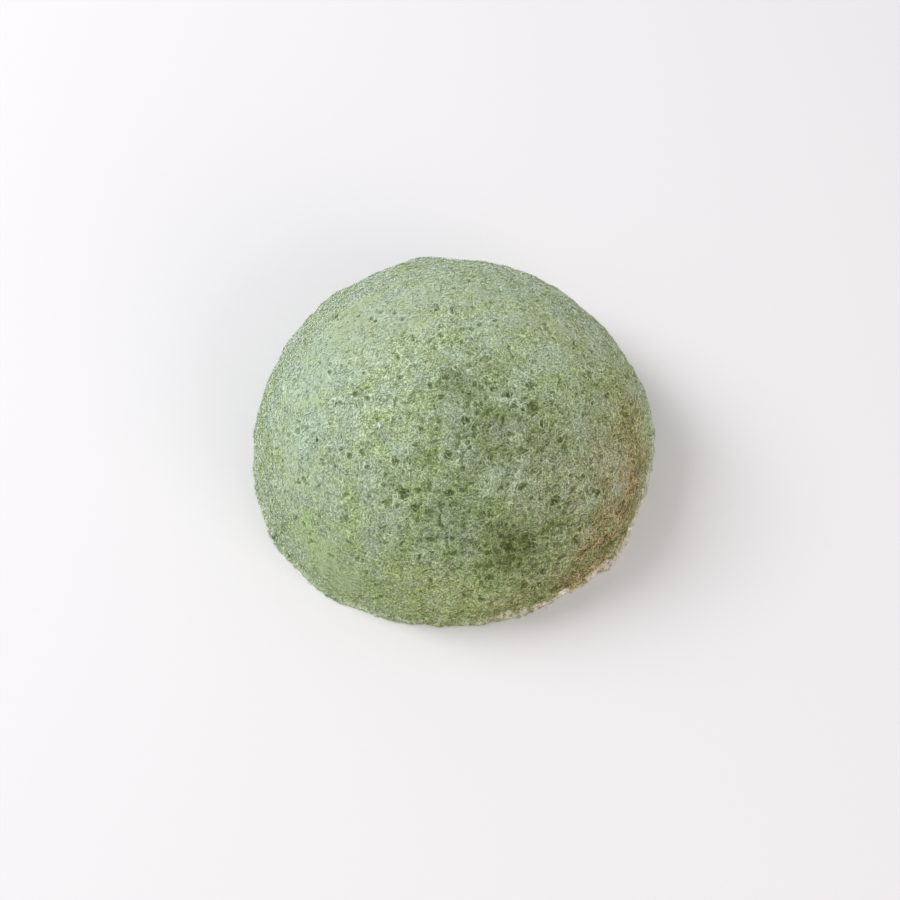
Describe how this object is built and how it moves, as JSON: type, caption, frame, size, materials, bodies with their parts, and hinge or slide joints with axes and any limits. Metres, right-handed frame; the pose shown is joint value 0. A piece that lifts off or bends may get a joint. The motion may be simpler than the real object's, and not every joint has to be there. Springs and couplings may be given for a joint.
{
  "type": "konjac face sponge",
  "caption": "Half-ball face-washing sponge of soft, wet plant-fibre foam with a flat back, a full round dome and a thin moulding lip round the edge.",
  "frame": {"origin": "middle of the flat face, on the surface that the sponge rests on", "axes": "+Z from the flat face to the crown of the dome; -Y is the side that faces the viewer in the picture; +X is to the viewer's right"},
  "size_m": [0.0877, 0.0862, 0.04],
  "materials": {
    "konjac_foam": "matte"
  },
  "bodies": {
    "root": {"sponge_body": "konjac_foam"}
  },
  "joints": []
}
